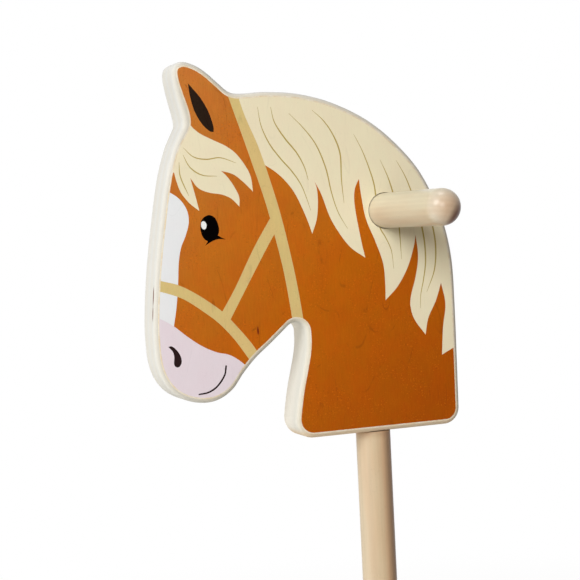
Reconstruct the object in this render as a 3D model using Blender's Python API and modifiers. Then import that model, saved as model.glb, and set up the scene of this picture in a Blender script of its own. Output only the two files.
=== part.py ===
# Hobby horse: a flat plywood horse's head on a round stick, with a handle bar through the neck
# Metres, +Z up the stick. The head lies in the XZ plane with its nose towards -X.
# The origin is the centre of the foot's flat underside, on the stick's axis.

import math

import bmesh
import bpy
from mathutils import Vector

MM = 0.001

# Fits between touching pieces, and the modelling tolerances
FIT_GAP = 0.3 * MM
CUT_OVERRUN = 2 * MM
MERGE_DISTANCE = 0.01 * MM
SHARP_DEGREES = 40

# Head board
BOARD_THICKNESS = 24 * MM
BOARD_EDGE_ROUND = 3.2 * MM
BOARD_EDGE_STEPS = 2
OUTLINE_STEPS = 5
NECK_BASE_HEIGHT = 568 * MM
NECK_DROP = 138.6 * MM
NECK_BACK = 46.6 * MM
NECK_FRONT = 66.6 * MM
NECK_FRONT_ROUND = 11.8 * MM
NECK_BACK_ROUND = 10.5 * MM
THROAT_ACROSS = -63.6 * MM
THROAT_DOWN = -72.5 * MM
THROAT_ROUND = 6.4 * MM
THROAT_START_DEGREES = 130

# Handle bar
HANDLE_AHEAD = 10.2 * MM
HANDLE_DIAMETER = 22 * MM
HANDLE_REACH = 89.5 * MM
HANDLE_SIDES = 40
HANDLE_END_RINGS = 7

# Stick
STICK_DIAMETER = 22 * MM
STICK_CHAMFER = 0.8 * MM
STICK_SIDES = 40

# Threaded insert in the neck's lower edge
INSERT_WALL = 1 * MM
INSERT_LENGTH = 20 * MM
INSERT_RECESS = 0.5 * MM
INSERT_RIDGE = 0.7 * MM
INSERT_RIDGE_PITCH = 3 * MM

# Hanger bolt that joins the stick to the insert
STUD_DIAMETER = 8 * MM
STUD_THREAD_DEPTH = 0.6 * MM
STUD_MACHINE_PITCH = 1.6 * MM
STUD_HEAD_ROOM = 2 * MM
STUD_WOOD_PITCH = 3 * MM
STUD_WOOD_LENGTH = 30 * MM
STUD_POINT_LENGTH = 5 * MM
STUD_PLAIN_LENGTH = 5 * MM
STUD_SIDES = 20

# Rubber foot
FOOT_WALL = 3 * MM
FOOT_SOLE = 7 * MM
FOOT_DEPTH = 22 * MM
FOOT_FLARE = 1.6 * MM
FOOT_SOLE_CHAMFER = 1.5 * MM
FOOT_LIP_CHAMFER = 0.8 * MM
FOOT_SIDES = 40

# Sizes and heights that follow
HANDLE_HEIGHT = NECK_BASE_HEIGHT + NECK_DROP
STICK_BOTTOM = FOOT_SOLE + FIT_GAP
STICK_TOP = NECK_BASE_HEIGHT - FIT_GAP
INSERT_DIAMETER = STUD_DIAMETER + 2 * (FIT_GAP + INSERT_WALL + INSERT_RIDGE)
INSERT_BOTTOM = NECK_BASE_HEIGHT + INSERT_RECESS
INSERT_TOP = INSERT_BOTTOM + INSERT_LENGTH
STUD_TOP = INSERT_TOP - STUD_HEAD_ROOM
STUD_PLAIN_TOP = NECK_BASE_HEIGHT + STUD_PLAIN_LENGTH / 2
STUD_PLAIN_BOTTOM = STUD_PLAIN_TOP - STUD_PLAIN_LENGTH
STUD_WOOD_BOTTOM = STUD_PLAIN_BOTTOM - STUD_WOOD_LENGTH
STUD_TIP = STUD_WOOD_BOTTOM - STUD_POINT_LENGTH

# Free curves of the head's outline, in millimetres from the handle's axis: x ahead of it, z above it
CREST_BACK = ((47, -60), (45.9, -30.5), (40.4, -6), (27.2, 22.3), (11.2, 41.2))
CREST_TOP = ((-8.5, 57), (-32, 68.3), (-54, 74), (-76, 75.6))
POLL = ((-91.5, 74.8), (-98.8, 75.8), (-105.5, 81.2))
EAR_BACK = ((-113.5, 88.2), (-121, 92.6), (-128.5, 94.2))
EAR_FRONT = ((-133.4, 91.5), (-134.6, 86), (-132.4, 73), (-129.7, 61.5))
BROW = ((-129.5, 56.6), (-132.2, 51), (-136, 43))
NOSE = ((-141.6, 24.5), (-147.4, -6.5), (-151.1, -31), (-153.5, -55))
MUZZLE = ((-154, -72), (-152.4, -88), (-147, -99.6), (-138, -107.1), (-126, -110.6))
CHIN = ((-115.5, -109.6), (-106, -104))
JAW = ((-98.5, -94.7), (-90, -85.9), (-79.5, -77.5))
OUTLINE_CURVES = (CREST_BACK, CREST_TOP, POLL, EAR_BACK, EAR_FRONT, BROW, NOSE, MUZZLE, CHIN, JAW)
CHEST = ((-57.3, -80), (-58.3, -87), (-61.1, -98.5), (-64, -110.5))


def make_collection(name, hidden):
    collection = bpy.data.collections.new(name)
    collection.hide_render = hidden
    bpy.context.scene.collection.children.link(collection)
    return collection


def clear_scene():
    for item in list(bpy.data.objects):
        bpy.data.objects.remove(item, do_unlink=True)
    for item in list(bpy.data.collections):
        bpy.data.collections.remove(item)


def make_material(name, colour, roughness, metallic):
    material = bpy.data.materials.new(name)
    material.use_nodes = True
    shader = material.node_tree.nodes["Principled BSDF"]
    shader.inputs["Base Color"].default_value = (*colour, 1)
    shader.inputs["Roughness"].default_value = roughness
    shader.inputs["Metallic"].default_value = metallic
    return material


def add_empty(name, collection, location, parent):
    empty = bpy.data.objects.new(name, None)
    empty.location = location
    empty.parent = parent
    collection.objects.link(empty)
    return empty


def turned(name, collection, profile, sides, material, parent, location, rotation=(0, 0, 0)):
    # The profile holds (radius, height) pairs and runs down the outer side
    mesh = bpy.data.meshes.new(name)
    points = [(radius, 0, height) for radius, height in profile]
    edges = [(i, i + 1) for i in range(len(points) - 1)]
    mesh.from_pydata(points, edges, [])
    mesh.materials.append(material)
    piece = bpy.data.objects.new(name, mesh)
    collection.objects.link(piece)
    piece.parent = parent
    piece.location = location
    piece.rotation_euler = rotation
    screw = piece.modifiers.new("turn", "SCREW")
    screw.axis = "Z"
    screw.steps = sides
    screw.render_steps = sides
    screw.use_merge_vertices = True
    screw.merge_threshold = MERGE_DISTANCE
    screw.use_smooth_shade = True
    return piece


def cylinder_cutter(name, collection, diameter, length, sides, parent, location, rotation=(0, 0, 0)):
    mesh = bpy.data.meshes.new(name)
    shape = bmesh.new()
    bmesh.ops.create_cone(
        shape, cap_ends=True, segments=sides, radius1=diameter / 2, radius2=diameter / 2, depth=length
    )
    shape.to_mesh(mesh)
    shape.free()
    cutter = bpy.data.objects.new(name, mesh)
    cutter.parent = parent
    cutter.location = location
    cutter.rotation_euler = rotation
    cutter.hide_render = True
    cutter.display_type = "WIRE"
    collection.objects.link(cutter)
    return cutter


def cut(piece, cutter):
    boolean = piece.modifiers.new("cut by " + cutter.name, "BOOLEAN")
    boolean.operation = "DIFFERENCE"
    boolean.solver = "EXACT"
    boolean.object = cutter


def thread_rings(outer, depth, pitch, top, length):
    # V ridges down a threaded length, each one a crest between two roots
    count = round(length / pitch)
    step = length / count
    profile = []
    for i in range(count):
        profile.append((outer - depth, top - i * step))
        profile.append((outer, top - (i + 0.5) * step))
    profile.append((outer - depth, top - length))
    return profile


def arc(centre, radius, start, end, steps):
    # Points on an arc, with angles in degrees from +x towards +z
    points = []
    for i in range(steps + 1):
        angle = math.radians(start + (end - start) * i / steps)
        points.append(Vector((centre[0] + radius * math.cos(angle), centre[1] + radius * math.sin(angle))))
    return points


def smooth_points(points, steps):
    # A rounded open curve through the points, read from Catmull-Rom spans
    found = []
    for i in range(1, len(points) - 2):
        before, start, end, after = points[i - 1], points[i], points[i + 1], points[i + 2]
        chord = (end - start).length
        leave = (end - before).normalized() * chord
        arrive = (after - start).normalized() * chord
        for k in range(steps):
            t = k / steps
            found.append(
                start * (2 * t**3 - 3 * t**2 + 1)
                + leave * (t**3 - 2 * t**2 + t)
                + end * (3 * t**2 - 2 * t**3)
                + arrive * (t**3 - t**2)
            )
    found.append(points[-2])
    return found


def head_outline():
    # The outline runs from the back of the neck over the ear and nose to the throat and the neck's base
    back_low = Vector((NECK_BACK, NECK_BACK_ROUND - NECK_DROP))
    throat_centre = (THROAT_ACROSS, THROAT_DOWN)
    throat = arc(throat_centre, THROAT_ROUND, THROAT_START_DEGREES, 0, OUTLINE_STEPS * 2)
    front_low = Vector((-NECK_FRONT, NECK_FRONT_ROUND - NECK_DROP))
    chest = [Vector(knot) * MM for knot in CHEST]
    free = [Vector(knot) * MM for stretch in OUTLINE_CURVES for knot in stretch]
    down = Vector((0, -NECK_BACK_ROUND))
    upper = smooth_points([back_low + down, back_low] + free + [throat[0], throat[1]], OUTLINE_STEPS)
    front = smooth_points([throat[-2], throat[-1]] + chest + [front_low, front_low + down], OUTLINE_STEPS)
    front_centre = (NECK_FRONT_ROUND - NECK_FRONT, NECK_FRONT_ROUND - NECK_DROP)
    back_centre = (NECK_BACK - NECK_BACK_ROUND, NECK_BACK_ROUND - NECK_DROP)
    front_corner = arc(front_centre, NECK_FRONT_ROUND, 180, 270, OUTLINE_STEPS)
    back_corner = arc(back_centre, NECK_BACK_ROUND, 270, 360, OUTLINE_STEPS)
    return upper[:-1] + throat[:-1] + front[:-1] + front_corner + back_corner[:-1]


def make_head_board(collection, cutters, head):
    curve = bpy.data.curves.new("head outline", "CURVE")
    curve.dimensions = "2D"
    curve.fill_mode = "BOTH"
    curve.extrude = BOARD_THICKNESS / 2 - BOARD_EDGE_ROUND
    curve.bevel_depth = BOARD_EDGE_ROUND
    curve.bevel_resolution = BOARD_EDGE_STEPS
    curve.offset = -BOARD_EDGE_ROUND
    outline = head_outline()
    spline = curve.splines.new("POLY")
    spline.points.add(len(outline) - 1)
    for point, place in zip(spline.points, outline):
        point.co = (place.x, place.y, 0, 1)
    spline.use_cyclic_u = True
    guide = bpy.data.objects.new("head outline", curve)
    guide.rotation_euler = (math.pi / 2, 0, 0)
    guide.parent = head
    collection.objects.link(guide)
    bpy.context.view_layer.update()
    mesh = bpy.data.meshes.new_from_object(guide.evaluated_get(bpy.context.evaluated_depsgraph_get()))
    mesh.name = "head_board"
    shape = bmesh.new()
    shape.from_mesh(mesh)
    bmesh.ops.remove_doubles(shape, verts=shape.verts, dist=MERGE_DISTANCE)
    bmesh.ops.recalc_face_normals(shape, faces=shape.faces)
    shape.to_mesh(mesh)
    shape.free()
    mesh.shade_smooth()
    mesh.set_sharp_from_angle(angle=math.radians(SHARP_DEGREES))
    plywood = make_material("printed plywood", colour=(0.5, 0.14, 0.02), roughness=0.5, metallic=0)
    mesh.materials.append(plywood)
    board = bpy.data.objects.new("head_board", mesh)
    collection.objects.link(board)
    board.parent = head
    board.rotation_euler = guide.rotation_euler
    bpy.data.objects.remove(guide)
    handle_hole = cylinder_cutter(
        "handle hole",
        cutters,
        HANDLE_DIAMETER + 2 * FIT_GAP,
        BOARD_THICKNESS + 2 * CUT_OVERRUN,
        HANDLE_SIDES,
        head,
        (0, 0, 0),
        (math.pi / 2, 0, 0),
    )
    hole_top = INSERT_TOP + FIT_GAP - HANDLE_HEIGHT
    hole_bottom = -NECK_DROP - CUT_OVERRUN
    insert_hole = cylinder_cutter(
        "insert hole",
        cutters,
        INSERT_DIAMETER + 2 * FIT_GAP,
        hole_top - hole_bottom,
        STUD_SIDES,
        head,
        (-HANDLE_AHEAD, 0, (hole_top + hole_bottom) / 2),
    )
    cut(board, handle_hole)
    cut(board, insert_hole)
    return board


def make_handle_bar(collection, head):
    # A straight dowel through the board, each end a half ball
    radius = HANDLE_DIAMETER / 2
    shoulder = BOARD_THICKNESS / 2 + HANDLE_REACH - radius
    profile = []
    for i in range(HANDLE_END_RINGS + 1):
        angle = math.pi / 2 * (1 - i / HANDLE_END_RINGS)
        profile.append((radius * math.cos(angle) if i else 0, shoulder + radius * math.sin(angle)))
    profile += [(ring_radius, -height) for ring_radius, height in reversed(profile)]
    wood = make_material("handle beech", colour=(0.72, 0.53, 0.33), roughness=0.45, metallic=0)
    return turned("handle_bar", collection, profile, HANDLE_SIDES, wood, head, (0, 0, 0), (math.pi / 2, 0, 0))


def make_stick(collection, cutters, horse):
    radius = STICK_DIAMETER / 2
    profile = [
        (0, STICK_TOP),
        (radius - STICK_CHAMFER, STICK_TOP),
        (radius, STICK_TOP - STICK_CHAMFER),
        (radius, STICK_BOTTOM + STICK_CHAMFER),
        (radius - STICK_CHAMFER, STICK_BOTTOM),
        (0, STICK_BOTTOM),
    ]
    wood = make_material("stick beech", colour=(0.69, 0.49, 0.3), roughness=0.5, metallic=0)
    stick = turned("stick", collection, profile, STICK_SIDES, wood, horse, (0, 0, 0))
    hole_bottom = STUD_TIP - FIT_GAP
    hole_top = STICK_TOP + CUT_OVERRUN
    stud_hole = cylinder_cutter(
        "stud hole",
        cutters,
        STUD_DIAMETER + 2 * FIT_GAP,
        hole_top - hole_bottom,
        STUD_SIDES,
        horse,
        (0, 0, (hole_top + hole_bottom) / 2),
    )
    cut(stick, stud_hole)
    return stick


def make_threaded_insert(collection, horse):
    # A sleeve with coarse outer ridges and a plain bore around the bolt
    outer = INSERT_DIAMETER / 2
    bore = STUD_DIAMETER / 2 + FIT_GAP
    ridges = thread_rings(outer, INSERT_RIDGE, INSERT_RIDGE_PITCH, INSERT_TOP, INSERT_LENGTH)
    profile = [(bore, INSERT_BOTTOM), (bore, INSERT_TOP)] + ridges + [(bore, INSERT_BOTTOM)]
    brass = make_material("brass insert", colour=(0.62, 0.52, 0.3), roughness=0.35, metallic=1)
    return turned("threaded_insert", collection, profile, STUD_SIDES, brass, horse, (0, 0, 0))


def make_hanger_bolt(collection, horse):
    # Machine thread in the insert above, plain middle, wood thread and point in the stick below
    radius = STUD_DIAMETER / 2
    depth = STUD_THREAD_DEPTH
    profile = [(0, STUD_TOP)]
    profile += thread_rings(radius, depth, STUD_MACHINE_PITCH, STUD_TOP, STUD_TOP - STUD_PLAIN_TOP)
    profile += [(radius, STUD_PLAIN_TOP - depth), (radius, STUD_PLAIN_BOTTOM + depth)]
    profile += thread_rings(radius, depth, STUD_WOOD_PITCH, STUD_PLAIN_BOTTOM, STUD_WOOD_LENGTH)
    profile += [(0, STUD_TIP)]
    steel = make_material("zinc plated bolt", colour=(0.6, 0.6, 0.58), roughness=0.3, metallic=1)
    return turned("hanger_bolt", collection, profile, STUD_SIDES, steel, horse, (0, 0, 0))


def make_rubber_foot(collection, horse):
    # A cup pushed over the stick's lower end, flared towards a thick flat sole
    bore = STICK_DIAMETER / 2 + FIT_GAP
    rim = bore + FOOT_WALL
    base = rim + FOOT_FLARE
    height = FOOT_SOLE + FOOT_DEPTH
    profile = [
        (0, FOOT_SOLE),
        (bore, FOOT_SOLE),
        (bore, height),
        (rim - FOOT_LIP_CHAMFER, height),
        (rim, height - FOOT_LIP_CHAMFER),
        (base, FOOT_SOLE),
        (base, FOOT_SOLE_CHAMFER),
        (base - FOOT_SOLE_CHAMFER, 0),
        (0, 0),
    ]
    rubber = make_material("foot rubber", colour=(0.03, 0.03, 0.032), roughness=0.7, metallic=0)
    return turned("rubber_foot", collection, profile, FOOT_SIDES, rubber, horse, (0, 0, 0))


def main():
    clear_scene()
    parts = make_collection("hobby horse", False)
    cutters = make_collection("cutters", True)
    horse = add_empty("horse", parts, (0, 0, 0), None)
    head = add_empty("head", parts, (HANDLE_AHEAD, 0, HANDLE_HEIGHT), horse)
    make_head_board(parts, cutters, head)
    make_handle_bar(parts, head)
    make_stick(parts, cutters, horse)
    make_threaded_insert(parts, horse)
    make_hanger_bolt(parts, horse)
    make_rubber_foot(parts, horse)


main()
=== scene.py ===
# Hobby horse: the fine shapes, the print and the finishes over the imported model
import math

import bmesh
import bpy
from mathutils import Euler, Matrix, Vector, geometry, noise


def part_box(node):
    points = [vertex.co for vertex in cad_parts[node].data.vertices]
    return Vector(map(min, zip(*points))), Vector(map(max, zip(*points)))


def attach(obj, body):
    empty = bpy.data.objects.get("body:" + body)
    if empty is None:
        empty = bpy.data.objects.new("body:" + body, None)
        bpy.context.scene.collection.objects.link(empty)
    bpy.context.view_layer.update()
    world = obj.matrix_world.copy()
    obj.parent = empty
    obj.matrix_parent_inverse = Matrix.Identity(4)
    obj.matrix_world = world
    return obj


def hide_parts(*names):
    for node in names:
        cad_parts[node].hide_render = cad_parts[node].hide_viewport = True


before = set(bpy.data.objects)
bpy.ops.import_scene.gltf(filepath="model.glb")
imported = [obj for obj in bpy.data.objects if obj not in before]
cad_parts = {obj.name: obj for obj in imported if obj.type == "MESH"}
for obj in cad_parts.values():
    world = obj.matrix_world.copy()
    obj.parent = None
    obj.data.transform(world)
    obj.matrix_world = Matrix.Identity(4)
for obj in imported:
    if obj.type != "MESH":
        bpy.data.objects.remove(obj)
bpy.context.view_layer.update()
mm = 0.001
sharpAngle = math.radians(35)  # faces that meet more sharply than this keep a crisp edge
print("frame loaded with", len(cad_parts), "nodes")


def addObject(name, data):
    made = bpy.data.objects.new(name, data)
    bpy.context.scene.collection.objects.link(made)
    return made


def meshFrom(shape, name):
    mesh = bpy.data.meshes.new(name)
    shape.to_mesh(mesh)
    shape.free()
    return mesh


# Camera

camera = {
    "place": (-0.3802, -0.8597, 0.7012),
    "aside": 20.907,  # degrees round towards the nose
    "above": 2.559,  # degrees over the level
    "roll": 2.841,
    "lens": 91.87,
    "sensor": 36,
}


def addCamera():
    data = bpy.data.cameras.new("camera")
    data.lens = camera["lens"]
    data.sensor_width = camera["sensor"]
    holder = addObject("camera", data)
    aim = Euler((math.radians(90 - camera["above"]), 0, -math.radians(camera["aside"]))).to_matrix()
    tilt = Matrix.Rotation(-math.radians(camera["roll"]), 3, "Z")
    holder.matrix_world = Matrix.Translation(camera["place"]) @ (aim @ tilt).to_4x4()
    bpy.context.scene.camera = holder


addCamera()
print("camera placed")


# Helpers for shaders


def colour(red, green, blue):
    # Screen values from 0 to 255, as the linear colour that a shader takes
    shares = [value / 255 for value in (red, green, blue)]
    return [s / 12.92 if s <= 0.04045 else ((s + 0.055) / 1.055) ** 2.4 for s in shares] + [1]


def addNode(tree, kind, inputs, **settings):
    node = tree.nodes.new("ShaderNode" + kind)
    for key, value in settings.items():
        setattr(node, key, value)
    for key, value in inputs.items():
        if isinstance(value, bpy.types.NodeSocket):
            tree.links.new(value, node.inputs[key])
        else:
            node.inputs[key].default_value = value
    return node


def newMaterial(name, gloss, shine=0.5, metallic=0):
    material = bpy.data.materials.new(name)
    material.use_nodes = True
    tree = material.node_tree
    shader = tree.nodes["Principled BSDF"]
    for key, value in (("Roughness", gloss), ("Specular IOR Level", shine), ("Metallic", metallic)):
        shader.inputs[key].default_value = value
    return material, tree, shader


def stepsOf(tree, sizes, shift=(0, 0, 0)):
    # The place on the piece, counted in steps of these sizes in millimetres
    place = addNode(tree, "TexCoord", {})
    scale = [1 / (size * mm) for size in sizes]
    mapping = addNode(tree, "Mapping", {"Vector": place.outputs["Object"], "Scale": scale, "Location": shift})
    return mapping.outputs["Vector"]


def placeOf(tree, shift=(0, 0, 0)):
    # The place on the piece in millimetres, as x, y and z
    return tuple(addNode(tree, "SeparateXYZ", {0: stepsOf(tree, (1, 1, 1), shift)}).outputs)


def cloud(tree, sizes, detail=2, roughness=0.5, distortion=0, shift=(0, 0, 0)):
    inputs = {
        "Vector": stepsOf(tree, sizes, shift),
        "Scale": 1,
        "Detail": detail,
        "Roughness": roughness,
        "Distortion": distortion,
    }
    return addNode(tree, "TexNoise", inputs).outputs[0]


def spread(tree, value, low, high, start=0, end=1):
    inputs = {"Value": value, "From Min": low, "From Max": high, "To Min": start, "To Max": end}
    return addNode(tree, "MapRange", inputs, interpolation_type="SMOOTHSTEP").outputs[0]


def along(axis, across, length):
    return (across, length, across) if axis == "Y" else (across, across, length)


def cloudsOf(tree, values, axis=None):
    # The clouds by name; with an axis, sizes are across it and along it, and "shows" goes to spread
    found = {}
    for name, settings in values["clouds"].items():
        inputs = dict(settings)
        shows = inputs.pop("shows", None)
        if axis:
            inputs["sizes"] = along(axis, *inputs["sizes"])
        found[name] = cloud(tree, **inputs)
        if shows:
            found[name] = spread(tree, found[name], *shows)
    return found


def calc(tree, operation, *values):
    return addNode(tree, "Math", dict(enumerate(values)), operation=operation).outputs[0]


def plus(tree, first, second):
    return calc(tree, "ADD", first, second)


def minus(tree, first, second):
    return calc(tree, "SUBTRACT", first, second)


def times(tree, first, second):
    return calc(tree, "MULTIPLY", first, second)


def mixed(tree, share, first, second, way="MIX"):
    return addNode(tree, "Mix", {0: share, 6: first, 7: second}, data_type="RGBA", blend_type=way).outputs[2]


def shaded(base, factor):
    return [min(0.9, channel * factor) for channel in base[:3]] + [1]


def grained(tree, base, streaks, amount):
    # The base colour, a little darker and lighter along the grain
    dark, light = ([1 + way * amount] * 3 + [1] for way in (-1, 1))
    return mixed(tree, 1, base, mixed(tree, spread(tree, streaks, 0.32, 0.68), dark, light), "MULTIPLY")


def faded(tree, value, stops):
    # Tones that change evenly between the stops
    low, high = stops[0][0], stops[-1][0]
    share = addNode(tree, "MapRange", {"Value": value, "From Min": low, "From Max": high}).outputs[0]
    ramp = addNode(tree, "ValToRGB", {"Fac": share})
    for place, tone in stops[1:-1]:
        ramp.color_ramp.elements.new((place - low) / (high - low))
    for element, (place, tone) in zip(ramp.color_ramp.elements, stops):
        element.color = colour(*tone)
    return ramp.outputs["Color"]


def spot(tree, centre, size):
    # 1 inside a small blurred spot, 0 outside it; centre and size in millimetres on the piece
    shift = [-place / extent for place, extent in zip(centre, size)]
    length = addNode(tree, "VectorMath", {0: stepsOf(tree, size, shift)}, operation="LENGTH")
    return spread(tree, length.outputs["Value"], 0.6, 1.2, 1, 0)


def connect(tree, shader, base, pattern, height, values):
    # The colour, a roughness that follows the pattern, and fine relief in millimetres
    tree.links.new(base, shader.inputs["Base Color"])
    rough = [values["gloss"] + change for change in values["uneven"]]
    tree.links.new(spread(tree, pattern, 0.3, 0.7, *rough), shader.inputs["Roughness"])
    relief = {"Height": height, "Strength": 1, "Distance": values["relief"] * mm}
    tree.links.new(addNode(tree, "Bump", relief).outputs["Normal"], shader.inputs["Normal"])


# Head board: plywood with rounded edges, printed alike on both faces

board = {
    "edgeRound": 3.2,
    "inkInset": 3.33,  # how far inside the outline the print stops
    "insetMore": ((-129, 63), 26, 1.6),  # it stops further in at the ear's front: middle, reach and amount
    "scorchWidth": 0.9,  # the thin warm line past the print's edge
    "roundSteps": 8,
    "outlineStep": 1.1,
    "outlineReach": 6,
    "holeGap": 0.3,
    "holeChamfer": 0.12,
    "holeSides": 72,
    "drillSides": 64,
    "drillBelow": 2,  # how far the insert's drill starts under the board
    "curveStep": 1,
    "weld": 0.001,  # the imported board's corners this near are one
    "near": 0.01,  # places this near count as the same
    "cutNear": 0.0001,
}

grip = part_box("handle_bar")
gripX = (grip[0].x + grip[1].x) / 2
gripZ = (grip[0].z + grip[1].z) / 2
gripRadius = (grip[1].z - grip[0].z) / 2
boardLow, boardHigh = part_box("head_board")
faceDepth = boardHigh.y

# The print's shapes, in millimetres from the handle's axis: x towards the neck's back, z up.
# Each shape is a ring of stretches. A stretch is smooth, starts where the last one ended, and
# corners lie between them. Shapes that reach the edge run out past it.
inkShapes = {
    "eye": [
        [(-117.6, -13.6), (-119.8, -12.1), (-121.4, -9.3), (-122, -5.2), (-121.2, -1), (-119.2, 1.2),
         (-115.9, 2.2), (-112.6, 0.4), (-110.8, -3.4), (-110.3, -7.4), (-111.6, -10.7), (-114.4, -12.4),
         (-117.6, -13.6)],
    ],
    "blaze": [
        [(-150, 20), (-143.4, 18), (-139.6, 16.5), (-134.1, 12.4), (-129.9, 5.8), (-129.1, -1.4),
         (-131.4, -9.2), (-134.6, -16.2), (-136.5, -24.5), (-137.8, -38.6), (-139.5, -51.9), (-141.7, -63.1)],
        [(-157, -73)],
        [(-160, 0)],
    ],
    "muzzle": [
        [(-158, -55.2), (-149.1, -58.5), (-141.7, -63.1), (-133.4, -70), (-124.5, -76.3), (-115.8, -80.5),
         (-107.9, -82.7), (-101.9, -86.4), (-93.9, -93.3)],
        [(-100, -122)],
        [(-165, -117)],
    ],
    "mane": [
        [(-99.3, 78), (-93.4, 62.3), (-82.8, 33), (-79.3, 31.3)],
        [(-72.5, 26.8), (-65.9, 20.7), (-59.9, 12.4), (-53.3, -2.5), (-50, -12.2)],
        [(-46.6, -3.2), (-45.3, 6.6), (-45.6, 15.7), (-47, 19.9)],
        [(-43.1, 12.6), (-37.4, -3.2), (-30.9, -14.3), (-24.4, -22.3), (-15.1, -28.9)],
        [(-17.1, -19.6), (-20.4, 1.2), (-20.8, 9.3), (-19.8, 15), (-17, 20.4)],
        [(-16, 10.5), (-13.4, -4.8), (-7.9, -18.7), (-3.1, -33.1), (-2.3, -46), (-2.6, -56.4)],
        [(6.1, -48.3), (13.5, -37.1), (18.6, -24.1), (20.4, -16.2)],
        [(21.4, -30.4), (18.9, -43.2), (14.6, -57.9), (16.3, -68.5), (24.2, -80.1)],
        [(26.6, -69.8), (32.6, -58.8), (36.8, -47.6)],
        [(39.2, -61.5), (36.8, -76.2), (35.2, -93.7)],
        [(43.8, -89.8), (52, -86.5)],
        [(64, -28)],
        [(30, 65)],
        [(-52, 92)],
    ],
    "forelock": [
        [(-138, 66), (-128, 60.6), (-124.8, 56), (-119.7, 51.4), (-111.2, 47), (-103.3, 43.2), (-97.3, 38.6),
         (-91.9, 31.5), (-88.5, 24.6), (-87.4, 15.1)],
        [(-89.9, 17.8), (-94.1, 21.9), (-99.8, 26.2), (-107.2, 28.4)],
        [(-103.9, 25.3), (-99.7, 19.3), (-96.5, 12.4), (-96.6, 6.4)],
        [(-98.5, 8.6), (-102, 11.8), (-107.6, 14.2), (-115.5, 15.7), (-122, 18.6), (-126.7, 24.8)],
        [(-125.1, 18.2), (-123.5, 11.3), (-122.1, 4.9)],
        [(-128.1, 9.9), (-133, 16.4), (-135.4, 23.2), (-136.6, 28.3)],
        [(-148, 32)],
    ],
    "nose strap": [
        [(-160, -32.2), (-146.6, -36), (-137.8, -38.6), (-127.2, -44.3), (-117.8, -50.8), (-109.9, -57.2),
         (-101.7, -66.3), (-93.6, -76.3), (-87.1, -86.2)],
        [(-92.5, -91)],
        [(-98.9, -81), (-106, -71.3), (-114.5, -62.2), (-123.8, -54.8), (-133.9, -47.8), (-142.9, -43.9),
         (-160, -38.6)],
    ],
    "cross strap": [
        [(-75.6, 1), (-88.6, -18.8), (-102.7, -43.7), (-112.6, -58.8)],
        [(-107.5, -64)],
        [(-95.5, -44.1), (-79.4, -18), (-73.5, -9.1)],
    ],
    "cheek strap": [
        [(-102.6, 80), (-96.9, 62.6), (-89.2, 38.8), (-80.1, 9.5), (-75, -11.4), (-69.9, -35.7),
         (-64.9, -72)],
        [(-57.7, -72)],
        [(-61.5, -44), (-66.5, -16.5), (-72.5, 9.5), (-82.2, 41.3), (-90.3, 61.3), (-96, 80)],
    ],
    "ear inside": [
        [(-125.1, 81.2), (-124.2, 73.2), (-121.7, 64), (-117.4, 56.5), (-112.7, 52.1), (-110.5, 51.9)],
        [(-110.5, 55.1), (-113.1, 63.8), (-117.9, 72.5), (-125.1, 81.2)],
    ],
    "nostril": [
        [(-145.8, -75.1), (-144.2, -74.7), (-142.4, -75.6), (-139, -80), (-138, -84.4), (-139.3, -87.2),
         (-141.2, -87.7), (-142.8, -85.9), (-142.5, -81.3), (-143.3, -78), (-145.8, -75.1)],
    ],
    "lashes": [
        [(-119.7, -16.2), (-118, -13.8), (-116.2, -10.3)],
        [(-111.8, -9.9)],
        [(-109.4, -11.4), (-106.3, -12.9)],
        [(-111.3, -12.5), (-116.3, -14.2), (-119.7, -16.2)],
    ],
}

# The light in the eye, an ellipse: centre, half length, half width, and the long axis's lean in degrees
inkEllipses = {
    "eye light": ((-119.8, -3.8), 2.5, 1.76, 98),
}

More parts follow.
